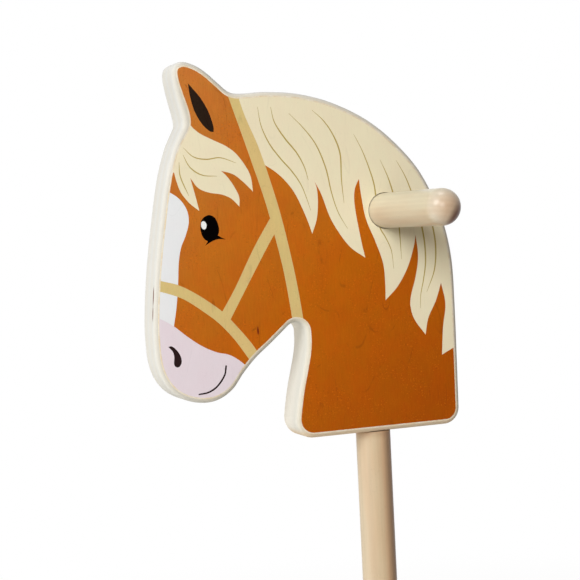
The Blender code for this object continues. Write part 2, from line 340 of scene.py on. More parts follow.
# Thin lines of the print: points along the middle, and the widths at the start, middle and end
inkLines = {
    "mane line": [
        ([(-81.8, 66.3), (-80.1, 54.9), (-75.2, 43.7), (-68.4, 34.5), (-61.5, 26.6), (-55.9, 18.2),
          (-52.4, 9), (-50.3, 2.1)], (0.2, 0.8, 0.2)),
        ([(-73.4, 66.1), (-71.3, 56.8), (-65, 46.8), (-57.7, 37.7), (-53.1, 28.9),
          (-51, 20.9)], (0.2, 0.9, 0.3)),
        ([(-61.8, 62.1), (-52.7, 53), (-44.8, 42.5), (-38.9, 27.6), (-35.9, 12.7), (-32, 0.1),
          (-26.2, -10.2)], (0.2, 0.8, 0.2)),
        ([(-46.2, 63.7), (-38.5, 56.5), (-32.4, 46.9), (-28.9, 36.4), (-28.8, 20.7),
          (-27.8, 5.8)], (0.2, 0.9, 0.2)),
        ([(-19.1, 48.3), (-13.7, 37.6), (-9, 24.7), (-6.6, 15.4), (-5.6, 2), (-4.1, -10.5), (-0.6, -16.9),
          (2.9, -25), (4.1, -36.8)], (0.2, 0.9, 0.2)),
        ([(-1.9, 31.8), (2.8, 21.2), (5.9, 11.1), (8.2, 1), (9.1, -9.6), (9.6, -22.3),
          (9.8, -31.1)], (0.2, 1, 0.2)),
        ([(9.2, 31.1), (15, 20.8), (19, 10.5), (22.6, 0), (24.7, -9.6), (26.4, -21.4), (26.5, -33.9),
          (24.5, -44.9), (22, -55), (21.5, -62.9)], (0.2, 1.1, 0.2)),
        ([(26.5, 7), (30.3, -1), (32.4, -10), (34.1, -24.1), (32.5, -39.1), (26.4, -53)], (0.5, 1.1, 0.2)),
    ],
    "forelock line": [
        ([(-130, 42.8), (-124, 37.3), (-116.2, 35.6), (-107.3, 36.3), (-97.4, 32.9)], (0.2, 0.7, 0.2)),
        ([(-130.5, 38.7), (-126.5, 31.1), (-119.3, 26.3), (-109.9, 25.3)], (0.2, 0.7, 0.2)),
        ([(-133.2, 34.3), (-132.9, 26.2), (-128.3, 14.4)], (0.2, 0.7, 0.2)),
    ],
    "smile": [
        ([(-110.3, -89.3), (-111.5, -94.7), (-116.6, -101.2), (-122.3, -104.3),
          (-128.2, -105)], (1.05, 1.1, 0.9)),
    ],
}

# Which ink each shape takes, from the lowest layer to the top one
inkLayers = (
    ("blaze", "white ink"),
    ("muzzle", "pink ink"),
    ("mane", "cream ink"),
    ("forelock", "cream ink"),
    ("mane line", "gold ink"),
    ("forelock line", "gold ink"),
    ("nose strap", "tan ink"),
    ("cross strap", "tan ink"),
    ("cheek strap", "tan ink"),
    ("ear inside", "ear ink"),
    ("nostril", "dark ink"),
    ("smile", "dark ink"),
    ("lashes", "eye ink"),
    ("eye", "eye ink"),
    ("eye light", "eye light ink"),
)


def curved(knots, step, reach=1000):
    # Points on a rounded curve from the second knot up to the last but one, about one step apart
    found = []
    for before, start, end, after in zip(knots, knots[1:], knots[2:], knots[3:]):
        chord = (end - start).length
        pull = min(chord, reach)
        leave = (end - before).normalized() * pull
        arrive = (after - start).normalized() * pull
        count = max(1, round(chord / step))
        for k in range(count):
            t = k / count
            found.append(
                start * (2 * t**3 - 3 * t**2 + 1)
                + leave * (t**3 - 2 * t**2 + t)
                + end * (3 * t**2 - 2 * t**3)
                + arrive * (t**3 - t**2)
            )
    return found


def pathThrough(points):
    knots = [Vector(point) for point in points]
    if len(knots) == 2:
        return knots
    ends = [2 * knots[0] - knots[1], 2 * knots[-1] - knots[-2]]
    return curved(ends[:1] + knots + ends[1:], board["curveStep"]) + [knots[-1]]


def shapeRing(stretches):
    ring = []
    corner = []
    for stretch in stretches:
        points = corner + list(stretch)
        ring += pathThrough(points)[:-1] if len(points) > 1 else []
        corner = [points[-1]]
    if (Vector(corner[0]) - ring[0]).length > board["near"]:
        ring.append(Vector(corner[0]))
    return ring


def ellipseRing(centre, longHalf, shortHalf, lean):
    turn = Matrix.Rotation(math.radians(lean), 2)
    count = round(4 * math.pi * longHalf / board["curveStep"])
    angles = [2 * math.pi * i / count for i in range(count)]
    return [Vector(centre) + turn @ Vector((longHalf * math.cos(a), shortHalf * math.sin(a))) for a in angles]


def lineRing(points, widths):
    # A stroke with round ends, from points along its middle and three widths
    path = pathThrough(points)
    sides = []
    for i, place in enumerate(path):
        share = i / (len(path) - 1)
        end = widths[0] if share < 0.5 else widths[2]
        width = end + (widths[1] - end) * math.sin(math.pi * share)
        ahead = path[min(i + 1, len(path) - 1)] - path[max(i - 1, 0)]
        sides.append(Vector((-ahead.y, ahead.x)).normalized() * width / 2)
    ring = [place - side for place, side in zip(path, sides)]
    ring += [path[-1] + Matrix.Rotation(math.pi * k / 4, 2) @ -sides[-1] for k in (1, 2, 3)]
    ring += [place + side for place, side in zip(reversed(path), reversed(sides))]
    ring += [path[0] + Matrix.Rotation(math.pi * k / 4, 2) @ sides[0] for k in (1, 2, 3)]
    return ring


def facing(ring):
    # The ring's points in the order that keeps its inside on the left
    area = sum(a.x * b.y - b.x * a.y for a, b in zip(ring, ring[1:] + ring[:1]))
    return ring if area > 0 else ring[::-1]


def boardOutline():
    # The board's widest outline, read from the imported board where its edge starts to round
    shape = bmesh.new()
    shape.from_mesh(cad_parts["head_board"].data)
    bmesh.ops.remove_doubles(shape, verts=shape.verts, dist=board["weld"] * mm)
    depth = boardLow.y + board["edgeRound"] * mm
    left = {v for v in shape.verts if abs(v.co.y - depth) < board["near"] * mm}
    loop = [min(left, key=lambda v: (v.co.z, v.co.x))]
    while left:
        left.discard(loop[-1])
        near = [e.other_vert(loop[-1]) for e in loop[-1].link_edges]
        near = [v for v in near if v in left]
        if not near:
            break
        loop.append(min(near, key=lambda v: (v.co - loop[-1].co).length))
    knots = facing([Vector(((v.co.x - gripX) / mm, (v.co.z - gripZ) / mm)) for v in loop])
    shape.free()
    return curved(knots[-1:] + knots + knots[:2], board["outlineStep"], board["outlineReach"])


def inwards(ring):
    # At each point of a ring, the direction square to it and into the board
    found = []
    for before, after in zip(ring[-1:] + ring[:-1], ring[1:] + ring[:1]):
        ahead = (after - before).normalized()
        found.append(Vector((-ahead.y, ahead.x)))
    return found


def inkedFace(outline, hole):
    # The face cut along every border of the print into triangles, each with its topmost ink
    rings = [(outline, "coat ink")]
    for layer, ink in inkLayers:
        if layer in inkShapes:
            rings.append((shapeRing(inkShapes[layer]), ink))
        if layer in inkEllipses:
            rings.append((ellipseRing(*inkEllipses[layer]), ink))
        rings += [(lineRing(*line), ink) for line in inkLines.get(layer, ())]
    rings.append((hole, None))
    places, shapes = [], []
    for ring, ink in rings:
        shapes.append(range(len(places), len(places) + len(ring)))
        places += facing(ring)
    shapes = [list(shape) for shape in shapes]
    insideOnly = 1
    cut = geometry.delaunay_2d_cdt(places, [], shapes, insideOnly, board["cutNear"], True)
    points, triangles, sources = cut[0], cut[2], cut[5]
    found = []
    for triangle, source in zip(triangles, sources):
        if 0 in source and rings[max(source)][1]:
            found.append((triangle, rings[max(source)][1]))
    return points, found


def openLoops(triangles):
    # The rings of edges that only one triangle uses, each in its triangle's direction
    edges = {(a, b) for t in triangles for a, b in zip(t, t[1:] + t[:1])}
    following = {a: b for a, b in edges if (b, a) not in edges}
    loops = []
    while following:
        loop = [next(iter(following))]
        while loop[-1] in following:
            loop.append(following.pop(loop[-1]))
        loops.append(loop[:-1])
    return sorted(loops, key=len)


def inkInsetAt(place):
    # How far inside the outline the print stops here
    (x, z), reach, more = board["insetMore"]
    near = max(0, 1 - (place - Vector((x, z))).length / reach)
    return board["inkInset"] + more * near * near * (3 - 2 * near)


def edgeProfile(inset):
    # From the print's edge out to the board's outline: distances inside the outline, with their depths
    start = inset - board["scorchWidth"]
    angles = [math.pi / 2 * i / board["roundSteps"] for i in range(board["roundSteps"] + 1)]
    insets = [inset, start + board["scorchWidth"] / 2] + [start * (1 - math.sin(angle)) for angle in angles]
    radius = board["edgeRound"]
    return [(away, radius - math.sqrt(radius**2 - max(0, radius - away) ** 2)) for away in insets]


def edgeCorners(loop, points, inkEdge, square, insets):
    # Each point of the cut face's rim, with the way across the edge there and the outline's distance
    found = []
    for i in loop:
        place = points[i]
        near = min(range(len(inkEdge)), key=lambda k: (inkEdge[k] - place).length_squared)
        best = None
        for k in (near - 1, near):
            after = (k + 1) % len(inkEdge)
            a, b = inkEdge[k], inkEdge[after]
            share = min(1, max(0, (place - a).dot(b - a) / (b - a).length_squared))
            gap = (a + (b - a) * share - place).length
            if best is None or gap < best[0]:
                inset = insets[k] + (insets[after] - insets[k]) * share
                best = (gap, place, square[k].lerp(square[after], share).normalized(), inset)
        found.append(best[1:])
    return found


def buildBoard(finishes):
    outline = boardOutline()
    square = inwards(outline)
    insets = [inkInsetAt(place) for place in outline]
    inkEdge = [place + side * inset for place, side, inset in zip(outline, square, insets)]
    holeRadius = gripRadius / mm + board["holeGap"]
    angles = [2 * math.pi * i / board["holeSides"] for i in range(board["holeSides"])]
    hole = [Vector((math.cos(a), math.sin(a))) * (holeRadius + board["holeChamfer"]) for a in angles]
    points, faces = inkedFace(inkEdge, hole)
    loops = openLoops([triangle for triangle, _ in faces])
    print("printed face:", len(faces), "triangles,", len(loops), "open rings")
    holeLoop, edgeLoop = loops[0], loops[-1]

    slots = list(finishes)
    shape = bmesh.new()

    def vertexAt(place, depth):
        return shape.verts.new((gripX + place.x * mm, -faceDepth + depth * mm, gripZ + place.y * mm))

    def addFace(corners, finish):
        face = shape.faces.new(corners)
        face.material_index = slots.index(finish)
        face.smooth = True

    used = sorted({i for triangle, _ in faces for i in triangle})
    thick = 2 * faceDepth / mm
    front = {i: vertexAt(points[i], 0) for i in used}
    back = {i: vertexAt(points[i], thick) for i in used}
    for triangle, ink in faces:
        addFace([front[i] for i in triangle], ink)
        addFace([back[i] for i in reversed(triangle)], ink)
    chamfer = board["holeChamfer"]
    inner = {i: points[i].normalized() * holeRadius for i in holeLoop}
    wall = [front, {i: vertexAt(inner[i], chamfer) for i in holeLoop}]
    wall += [{i: vertexAt(inner[i], thick - chamfer) for i in holeLoop}, back]
    for upper, lower in zip(wall, wall[1:]):
        for a, b in zip(holeLoop, holeLoop[1:] + holeLoop[:1]):
            addFace((upper[b], upper[a], lower[a], lower[b]), "bored wood")

    # From each corner of the rim, the rounded edge goes straight out to the outline and over to the back
    corners = edgeCorners(edgeLoop, points, inkEdge, square, insets)
    profiles = [edgeProfile(inset) for _, _, inset in corners]
    steps = len(profiles[0])
    rings = [[front[i] for i in edgeLoop]]
    for step in list(range(1, steps)) + list(range(steps - 1, 0, -1)):
        ring = []
        for (place, side, inset), profile in zip(corners, profiles):
            away, depth = profile[step]
            depth = depth if len(rings) < steps else thick - depth
            ring.append(vertexAt(place - side * (inset - away), depth))
        rings.append(ring)
    rings.append([back[i] for i in edgeLoop])
    for k, (upper, lower) in enumerate(zip(rings, rings[1:])):
        finish = "scorched edge" if k < 2 or k > len(rings) - 4 else "ply edge"
        for i in range(len(edgeLoop)):
            j = (i + 1) % len(edgeLoop)
            addFace((upper[j], upper[i], lower[i], lower[j]), finish)
    mesh = meshFrom(shape, "printed_board")
    mesh.set_sharp_from_angle(angle=sharpAngle)
    for name in slots:
        mesh.materials.append(finishes[name])
    return addObject("printed_board", mesh)


def boreInsertHole(piece, finishes):
    # The blind hole for the threaded insert, up into the neck's lower edge
    low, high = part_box("threaded_insert")
    radius = high.x + board["holeGap"] * mm
    top, bottom = high.z + board["holeGap"] * mm, boardLow.z - board["drillBelow"] * mm
    shape = bmesh.new()
    middle = Matrix.Translation(((low.x + high.x) / 2, 0, (top + bottom) / 2))
    bmesh.ops.create_cone(shape, cap_ends=True, segments=board["drillSides"], radius1=radius, radius2=radius,
                          depth=top - bottom, matrix=middle)
    mesh = meshFrom(shape, "insert_drill")
    for finish in finishes.values():
        mesh.materials.append(finish)
    for face in mesh.polygons:
        face.material_index = list(finishes).index("bored wood")
        face.use_smooth = True
    drill = addObject("insert_drill", mesh)
    cut = piece.modifiers.new("insert hole", "BOOLEAN")
    cut.operation, cut.solver, cut.object = "DIFFERENCE", "EXACT", drill
    done = bpy.data.meshes.new_from_object(piece.evaluated_get(bpy.context.evaluated_depsgraph_get()))
    piece.modifiers.clear()
    piece.data = done
    done.name = piece.name
    done.set_sharp_from_angle(angle=sharpAngle)
    bpy.data.objects.remove(drill)


# The print's inks, and the board's bare wood

# Each ink's tone, how strongly the face veneer shows through it, and its shine
inks = {
    "coat ink": ((183, 96, 12), 0.065, 0.1),
    "white ink": ((226, 229, 232), 0.008, 0.1),
    "pink ink": ((222, 211, 219), 0.01, 0.1),
    "cream ink": ((229, 220, 190), 0.012, 0.1),
    "gold ink": ((175, 155, 83), 0.015, 0.1),
    "tan ink": ((209, 185, 124), 0.03, 0.1),
    "ear ink": ((41, 29, 22), 0.08, 0.012),
    "dark ink": ((42, 28, 29), 0.05, 0.012),
    "eye ink": ((2, 1, 1), 0.04, 0.012),
    "eye light ink": ((230, 235, 235), 0.005, 0.1),
}

veneer = {
    "gloss": 0.42,
    "uneven": (-0.03, 0.05),
    "relief": 0.01,
    # The coat deepens from the ear down to the neck: millimetres along that slope, and tone. This is partly
    # the ink's own gradient and partly painted light: paler at the ear as painted sheen, darker towards the
    # neck as painted shade
    "coatFade": ((-150, (189, 115, 50)), (-70, (186, 103, 25)), (0, (181, 93, 6)), (115, (163, 76, 0))),
    "drift": 36,  # how far cloudy patches move that slope
    "knot": (104, 28, 10),
    "knotAt": (-88.7, -69.4),
    "knotSize": (0.6, 3, 2.7),
    # How much each trait shows, times the ink's own strength
    "grain": 0.7,
    "patches": 0.6,
    "marks": 6,
    "dots": 10,
    "dotLight": 5,
    "markShade": 0.35,  # the marks' lightness beside the ink's
    "figureTimes": 11,  # how closely the figure lines follow one another, and how broad they are
    "figureWidth": 0.045,
    "redder": (0.2, -0.7, -1),  # the change in red, green and blue
    "greener": (-0.2, 0.7, 0),
    "clouds": {
        "patches": {"sizes": (20, 30, 26), "detail": 3},
        "streaks": {"sizes": (0.9, 3, 8), "detail": 3, "roughness": 0.65, "distortion": 0.5},
        "figure": {"sizes": (34, 60, 110), "detail": 1, "shift": (2, 0, 5)},
        "breaks": {"sizes": (6, 30, 12), "shift": (5, 5, 5), "shows": (0.46, 0.62)},
        "crowd": {"sizes": (12, 30, 16), "shift": (7, 1, 3), "shows": (0.44, 0.6, 0.2, 1)},
        "flecks": {"sizes": (1.3, 4, 1.1), "roughness": 0.7, "shift": (3, 0, 7), "shows": (0.56, 0.68)},
        "dots": {"sizes": (1.1, 4, 1.1), "detail": 1, "shift": (11, 5, 2), "shows": (0.61, 0.69)},
        "tint": {"sizes": (10, 30, 14), "detail": 3, "roughness": 0.6, "shift": (1, 8, 4),
                 "shows": (0.35, 0.65)},
    },
}


def onBoard(x, y, z):
    # Millimetres from the handle's axis and the board's middle plane, as object coordinates
    return (gripX / mm + x, y, gripZ / mm + z)


def coatTone(tree, patches):
    # The coat's tone by its place on the slope from the ear to the neck, partly painted sheen and shade, and
    # the dark knot on the cheek
    x, y, z = placeOf(tree, (-gripX / mm, 0, -gripZ / mm))
    slope = times(tree, minus(tree, x, z), math.sqrt(0.5))
    slope = plus(tree, slope, times(tree, minus(tree, patches, 0.5), veneer["drift"]))
    knotX, knotZ = veneer["knotAt"]
    knot = spot(tree, onBoard(knotX, -faceDepth / mm, knotZ), veneer["knotSize"])
    return mixed(tree, knot, faded(tree, slope, veneer["coatFade"]), colour(*veneer["knot"]))


def inkFinish(name, tone, show, shine):
    # The veneer shows faintly through the ink: upright grain, wandering figure lines and small flecks
    material, tree, shader = newMaterial(name, veneer["gloss"], shine)
    clouds = cloudsOf(tree, veneer)
    patches, streaks, crowd = clouds["patches"], clouds["streaks"], clouds["crowd"]
    waves = calc(tree, "PINGPONG", times(tree, clouds["figure"], veneer["figureTimes"]), 0.5)
    figure = spread(tree, waves, 0, veneer["figureWidth"], 1, 0)
    base = coatTone(tree, patches) if name == "coat ink" else colour(*tone)
    redder, greener = ([1 + part * show for part in veneer[way]] + [1] for way in ("redder", "greener"))
    base = mixed(tree, 1, base, mixed(tree, clouds["tint"], redder, greener), "MULTIPLY")
    base = grained(tree, base, streaks, veneer["grain"] * show)
    base = grained(tree, base, patches, veneer["patches"] * show)
    marks = plus(tree, times(tree, figure, clouds["breaks"]), times(tree, clouds["flecks"], crowd))
    darker = shaded(colour(*tone), veneer["markShade"])
    base = mixed(tree, times(tree, marks, veneer["marks"] * show), base, darker)
    lighter = shaded(colour(*tone), 1 + veneer["dotLight"] * show)
    dots = times(tree, clouds["dots"], crowd)
    base = mixed(tree, times(tree, dots, veneer["dots"] * show), base, lighter)
    connect(tree, shader, base, patches, minus(tree, streaks, marks), veneer)
    return material


# Places on the edge count from the handle's axis along x and z, and from the board's middle plane along y
ply = {
    "gloss": 0.5,
    "uneven": (-0.04, 0.08),
    "relief": 0.02,
    "shine": 0.2,
    "sheets": 9,
    "wander": 0.6,
    "tone": (199, 200, 197),
    "otherTone": (199, 198, 191),
    "roundLitTone": (207, 202, 187),  # the rounding beside both faces, painted lighter as light on the rims, and how deep it goes
    "roundReach": (0.2, 1.9),
    "noseRoundShade": (196, 193, 183),  # the rounding on the nose and the ear's front, painted darker as shade, and where that ends
    "nosePast": (-135, -115),
    "neckLitShadedTones": ((-9, (195, 194, 186)), (9, (219, 215, 205))),  # the neck's edge, from one face to the other: painted shade by the front face, painted light by the back face
    "neckFrom": (8, -30),  # where those come in: heights, and places along x
    "neckPast": (-84, -74),
    "lowTone": (208, 189, 162),  # the lower rim is browner: tone, and its height
    "lowReach": (2, 7),
    "glue": (170, 163, 146),
    "glueWidth": 0.05,  # in sheets
    "fibres": 0.02,
    "specks": 0.025,
    # Short dark marks in the edge: x, z, y and length
    "marks": ((-152.1, -45, -9.1, 12), (-152.8, -55, -9, 9), (-61.7, -71.4, -3.4, 3), (-64.2, -91.8, -5.2, 3),
              (-65.1, -96.3, -3.8, 3), (-67.5, -105.9, -3.4, 5), (-70.4, -117.2, 5.6, 3)),
    "markTone": (109, 74, 59),
    "markWidth": (2.5, 0.8),
    "markBlur": 1.8,
    "clouds": {
        "wander": {"sizes": (22, 60, 22)},
        "fibres": {"sizes": (4, 0.5, 4), "detail": 3, "roughness": 0.6},
        "specks": {"sizes": (0.6, 0.6, 0.6)},
        "glue": {"sizes": (7, 1.5, 7), "shift": (4, 9, 1), "shows": (0.45, 0.65, 0.05, 0.4)},
    },
}


def plyFinish(name):
    # Thin sheets with broken glue lines between them, toned by their place on the board
    material, tree, shader = newMaterial(name, ply["gloss"], ply["shine"])
    clouds = cloudsOf(tree, ply)
    x, y, z = placeOf(tree)
    level = plus(tree, y, times(tree, clouds["wander"], ply["wander"]))
    level = times(tree, level, ply["sheets"] * mm / (2 * faceDepth))
    level = plus(tree, level, ply["sheets"] / 2)
    sheet = addNode(tree, "TexWhiteNoise", {"W": calc(tree, "FLOOR", level)}, noise_dimensions="1D")
    base = mixed(tree, sheet.outputs["Value"], colour(*ply["tone"]), colour(*ply["otherTone"]))
    # The neck's edge is painted darker by the front face as shade and lighter by the back face as light
    below = spread(tree, times(tree, z, -1), *(-gripZ / mm - limit for limit in ply["neckFrom"]))
    past = spread(tree, x, *(gripX / mm + limit for limit in ply["neckPast"]))
    base = mixed(tree, times(tree, below, past), base, faded(tree, y, ply["neckLitShadedTones"]))
    # The rounding is painted: lighter as light on the rims, darker as shade on the nose and the ear's front
    ahead = spread(tree, x, *(gripX / mm + limit for limit in ply["nosePast"]))
    rounding = mixed(tree, ahead, colour(*ply["noseRoundShade"]), colour(*ply["roundLitTone"]))
    fromFace = minus(tree, faceDepth / mm, calc(tree, "ABSOLUTE", y))
    base = mixed(tree, spread(tree, fromFace, *ply["roundReach"], 1, 0), base, rounding)
    rim = spread(tree, z, *(boardLow.z / mm + limit for limit in ply["lowReach"]), 1, 0)
    base = mixed(tree, rim, base, colour(*ply["lowTone"]))
    for pattern in ("fibres", "specks"):
        base = grained(tree, base, clouds[pattern], ply[pattern])
    seam = spread(tree, calc(tree, "PINGPONG", level, 0.5), 0, ply["glueWidth"], 1, 0)
    seam = times(tree, seam, clouds["glue"])
    base = mixed(tree, seam, base, colour(*ply["glue"]))
    for markX, markZ, markY, length in ply["marks"]:
        mark = spot(tree, onBoard(markX, markY, markZ), (*ply["markWidth"], length / ply["markBlur"]))
        base = mixed(tree, mark, base, colour(*ply["markTone"]))
    connect(tree, shader, base, clouds["fibres"], minus(tree, clouds["fibres"], seam), ply)
    return material


# Bare veneer: two tones and the size of their patches
bareWoods = {
    "scorched edge": ((224, 216, 198), (218, 202, 172), (6, 3, 6)),
    # The bored wood's dark tone is partly the drilled wood's own and partly painted shade in the narrow gap
    # around the handle
    "bored wood": ((120, 86, 56), (170, 163, 146), (4, 1, 4)),
}
bare = {
    "gloss": 0.6,
    "uneven": (-0.08, 0.08),
    "relief": 0.02,
    "shine": 0.2,
    "patchShows": (0.4, 0.62),
    "fibres": 0.05,
    "clouds": {"fibres": {"sizes": (0.8, 0.8, 0.8)}},
}


def bareFinish(name):
    tone, otherTone, sizes = bareWoods[name]
    material, tree, shader = newMaterial(name, bare["gloss"], bare["shine"])
    fibres = cloudsOf(tree, bare)["fibres"]
    patches = spread(tree, cloud(tree, sizes, detail=3, roughness=0.65), *bare["patchShows"])
    base = grained(tree, mixed(tree, patches, colour(*tone), colour(*otherTone)), fibres, bare["fibres"])
    connect(tree, shader, base, fibres, fibres, bare)
    return material


boardFinishes = {name: inkFinish(name, *values) for name, values in inks.items()}
boardFinishes["scorched edge"] = bareFinish("scorched edge")
boardFinishes["ply edge"] = plyFinish("ply edge")
boardFinishes["bored wood"] = bareFinish("bored wood")
printedBoard = buildBoard(boardFinishes)
boreInsertHole(printedBoard, boardFinishes)
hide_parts("head_board")
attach(printedBoard, "root")
print("board built with", len(printedBoard.data.polygons), "faces")


# Turned pieces: the handle, the stick and its rubber foot

waverLength = 9  # millimetres from one slight hollow in a dowel's surface to the next


def turnedPiece(name, profile, sides, finish, middle=(0, 0), axis="Z", waver=0):
    # The profile holds (radius, height) pairs in millimetres and runs up the outer side
    shape = bmesh.new()
    rings = []
    for radius, height in profile:
        ring = []
        for i in range(sides if radius > 0 else 1):
            angle = 2 * math.pi * i / sides
            x, y = radius * math.cos(angle), radius * math.sin(angle)
            place = Vector((x, -height, y)) if axis == "Y" else Vector((x, y, height))
            if radius > 0 and waver:
                out = Vector((x, 0, y)) if axis == "Y" else Vector((x, y, 0))
                place -= out.normalized() * waver * (0.5 + 0.5 * noise.noise(place / waverLength))
            ring.append(shape.verts.new(place * mm + Vector((middle[0], 0, middle[1]))))
        rings.append(ring)
    for lower, upper in zip(rings, rings[1:]):
        for i in range(sides):
            j = (i + 1) % sides
            corners = [ring[k % len(ring)] for ring, k in ((lower, i), (lower, j), (upper, j), (upper, i))]
            face = shape.faces.new(list(dict.fromkeys(corners)))
            face.smooth = True
    bmesh.ops.recalc_face_normals(shape, faces=shape.faces)
    mesh = meshFrom(shape, name)
    mesh.set_sharp_from_angle(angle=sharpAngle)
    mesh.materials.append(finish)
    return addObject(name, mesh)


def straight(radius, low, high, step):
    count = max(1, round((high - low) / step))
    return [(radius, low + (high - low) * i / count) for i in range(count + 1)]


def rounded(centreRadius, centreHeight, radius, start, end, steps):
    # Part of a circle in the profile, with angles in degrees from outwards towards up
    found = []
    for i in range(steps + 1):
        angle = math.radians(start + (end - start) * i / steps)
        found.append((centreRadius + radius * math.cos(angle), centreHeight + radius * math.sin(angle)))
    return found


beech = {
    "gloss": 0.28,
    "uneven": (-0.005, 0.005),
    "relief": 0.0012,
    "flush": (1, 0.955, 0.93, 1),  # the tint of the pinker stretches
    "ringGap": 3.1,
    "ringLong": 30,  # how much farther the rings' waver reaches along than across
    "ringWaver": 6,
    "treeAt": 31,  # how far the tree's middle lies from the dowel's, in ring gaps
    # How much each trait shows, times the dowel's own grain
    "streaks": 0.01,
    "flecks": 0.05,
    "pores": 0.1,
    "fleckShade": 0.5,
    "clouds": {
        "streaks": {"sizes": (1.1, 26), "detail": 4, "roughness": 0.7, "distortion": 0.3},
        "flush": {"sizes": (9, 45), "shift": (2, 4, 1), "shows": (0.38, 0.66)},
        "flecks": {"sizes": (0.7, 3.2), "detail": 1, "shift": (5, 2, 8), "shows": (0.6, 0.74)},
        "pores": {"sizes": (0.5, 1.3), "detail": 1, "shift": (1, 6, 3), "shows": (0.64, 0.76)},
        "hollows": {"sizes": (0.5, 1.3), "detail": 1, "shift": (1, 6, 3), "shows": (0.6, 0.76, 0, 0.8)},
        "crowd": {"sizes": (7, 18), "shift": (9, 3, 6), "shows": (0.42, 0.64, 0.15, 1)},
    },
}


def beechFinish(name, axis, values, toneOf):
    # Soft uneven streaks along the dowel, faint year rings, and small flecks that lie along the grain
    material, tree, shader = newMaterial(name, beech["gloss"], values["shine"])
    sizes = along(axis, beech["ringGap"], beech["ringGap"] * beech["ringLong"])
    years = {
        "Vector": stepsOf(tree, sizes, along(axis, beech["treeAt"], 0)),
        "Scale": 0.1 * math.pi,  # one ring in each step
        "Distortion": beech["ringWaver"],
        "Detail": 3,
        "Detail Scale": 0.5,
    }
    rings = addNode(tree, "TexWave", years, wave_type="RINGS", rings_direction=axis).outputs["Fac"]
    clouds = cloudsOf(tree, beech, axis)
    streaks = clouds["streaks"]
    flush = mixed(tree, clouds["flush"], (1, 1, 1, 1), beech["flush"])
    base = mixed(tree, 1, toneOf(tree), flush, "MULTIPLY")
    for pattern in (rings, streaks):
        base = grained(tree, base, pattern, beech["streaks"] * values["grain"])
    darker = shaded(colour(*values["fleckFrom"]), beech["fleckShade"])
    for trait in ("flecks", "pores"):
        share = times(tree, times(tree, clouds[trait], beech[trait] * values["grain"]), clouds["crowd"])
        base = mixed(tree, share, base, darker)
    connect(tree, shader, base, streaks, minus(tree, streaks, clouds["hollows"]), beech)
    return material


handle = {
    # Tones by the distance from the board's middle plane
    "tones": ((90.5, (196, 189, 165)), (96, (191, 180, 160)), (99, (192, 175, 152)),
              (101.5, (189, 165, 138))),
    "paintedShade": (104, 63, 33),  # painted shade: a browner, darker patch low on the handle's end, on the mane's side, where the end turns from the light
    "paintedShadeAt": (8, -97, -8.5),
    "paintedShadeSize": (8.5, 10, 11),
    "fleckFrom": (196, 189, 164),
    "grain": 1.6,
    "shine": 0.36,
    "endRings": 20,
    "sides": 112,
    "ringStep": 3,
    "waver": 0.05,
}


def handleTone(tree):
    # The patch low on the handle's end is painted shade
    paintedShade = spot(tree, onBoard(*handle["paintedShadeAt"]), handle["paintedShadeSize"])
    tones = faded(tree, calc(tree, "ABSOLUTE", placeOf(tree)[1]), handle["tones"])
    return mixed(tree, paintedShade, tones, colour(*handle["paintedShade"]))


def buildHandle():
    radius = gripRadius / mm
    shoulder = grip[1].y / mm - radius
    top = rounded(0, shoulder, radius, 0, 90, handle["endRings"])[:-1] + [(0, shoulder + radius)]
    bottom = [(r, -height) for r, height in reversed(top)]
    profile = bottom[:-1] + straight(radius, -shoulder, shoulder, handle["ringStep"]) + top[1:]
    finish = beechFinish("handle beech", "Y", handle, handleTone)
    middle = (gripX, gripZ)
    piece = turnedPiece("handle_dowel", profile, handle["sides"], finish, middle, "Y", handle["waver"])
    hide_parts("handle_bar")
    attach(piece, "root")


buildHandle()
print("handle built")

stick = {
    # Tones across the thickness in millimetres, and the turn of that line in degrees; the darker, browner
    # tones on one side are painted shade
    "tones": ((-10, (188, 174, 150)), (-4, (190, 172, 146)), (1, (193, 174, 144)), (4, (203, 180, 147)),
              (6.5, (202, 169, 134)), (9, (176, 146, 116)), (10.8, (154, 126, 97))),
    "turn": -24,
    "topShadowTone": (165, 130, 100),  # painted shadow just under the neck: tone, how far down it reaches, and its share
    "topShadowReach": 6,
    "topShadowShare": 0.5,
    "fleckFrom": (192, 172, 146),
    "grain": 1.8,
    "shine": 0.12,
    "chamfer": 0.8,
    "chamferSteps": 4,
    "boreGap": 0.3,
    "sides": 96,
    "ringStep": 8,
    "waver": 0.05,
}


def stickToneAndShade(tree):
    x, y, z = placeOf(tree)
    turn = math.radians(stick["turn"])
    # Across the stick, one side is painted darker and browner as shade
    across = plus(tree, times(tree, x, math.cos(turn)), times(tree, y, math.sin(turn)))
    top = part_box("stick")[1].z / mm
    # A painted shadow darkens the stick's top, just under the neck
    topShadow = spread(tree, z, top - stick["topShadowReach"], top, 0, stick["topShadowShare"])
    return mixed(tree, topShadow, faded(tree, across, stick["tones"]), colour(*stick["topShadowTone"]))


def buildStick():
    low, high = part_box("stick")
    boltLow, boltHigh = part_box("hanger_bolt")
    radius, bottom, top = high.x / mm, low.z / mm, high.z / mm
    bore, boreEnd = boltHigh.x / mm + stick["boreGap"], boltLow.z / mm - stick["boreGap"]
    chamfer, steps = stick["chamfer"], stick["chamferSteps"]
    profile = [(0, bottom)] + rounded(radius - chamfer, bottom + chamfer, chamfer, -90, 0, steps)
    profile += straight(radius, bottom + chamfer, top - chamfer, stick["ringStep"])[1:]
    profile += rounded(radius - chamfer, top - chamfer, chamfer, 0, 90, steps)[1:]
    profile += [(bore, top), (bore, boreEnd), (0, boreEnd)]
    finish = beechFinish("stick beech", "Z", stick, stickToneAndShade)
    piece = turnedPiece("stick_dowel", profile, stick["sides"], finish, waver=stick["waver"])
    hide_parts("stick")
    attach(piece, "root")


buildStick()
print("stick built")

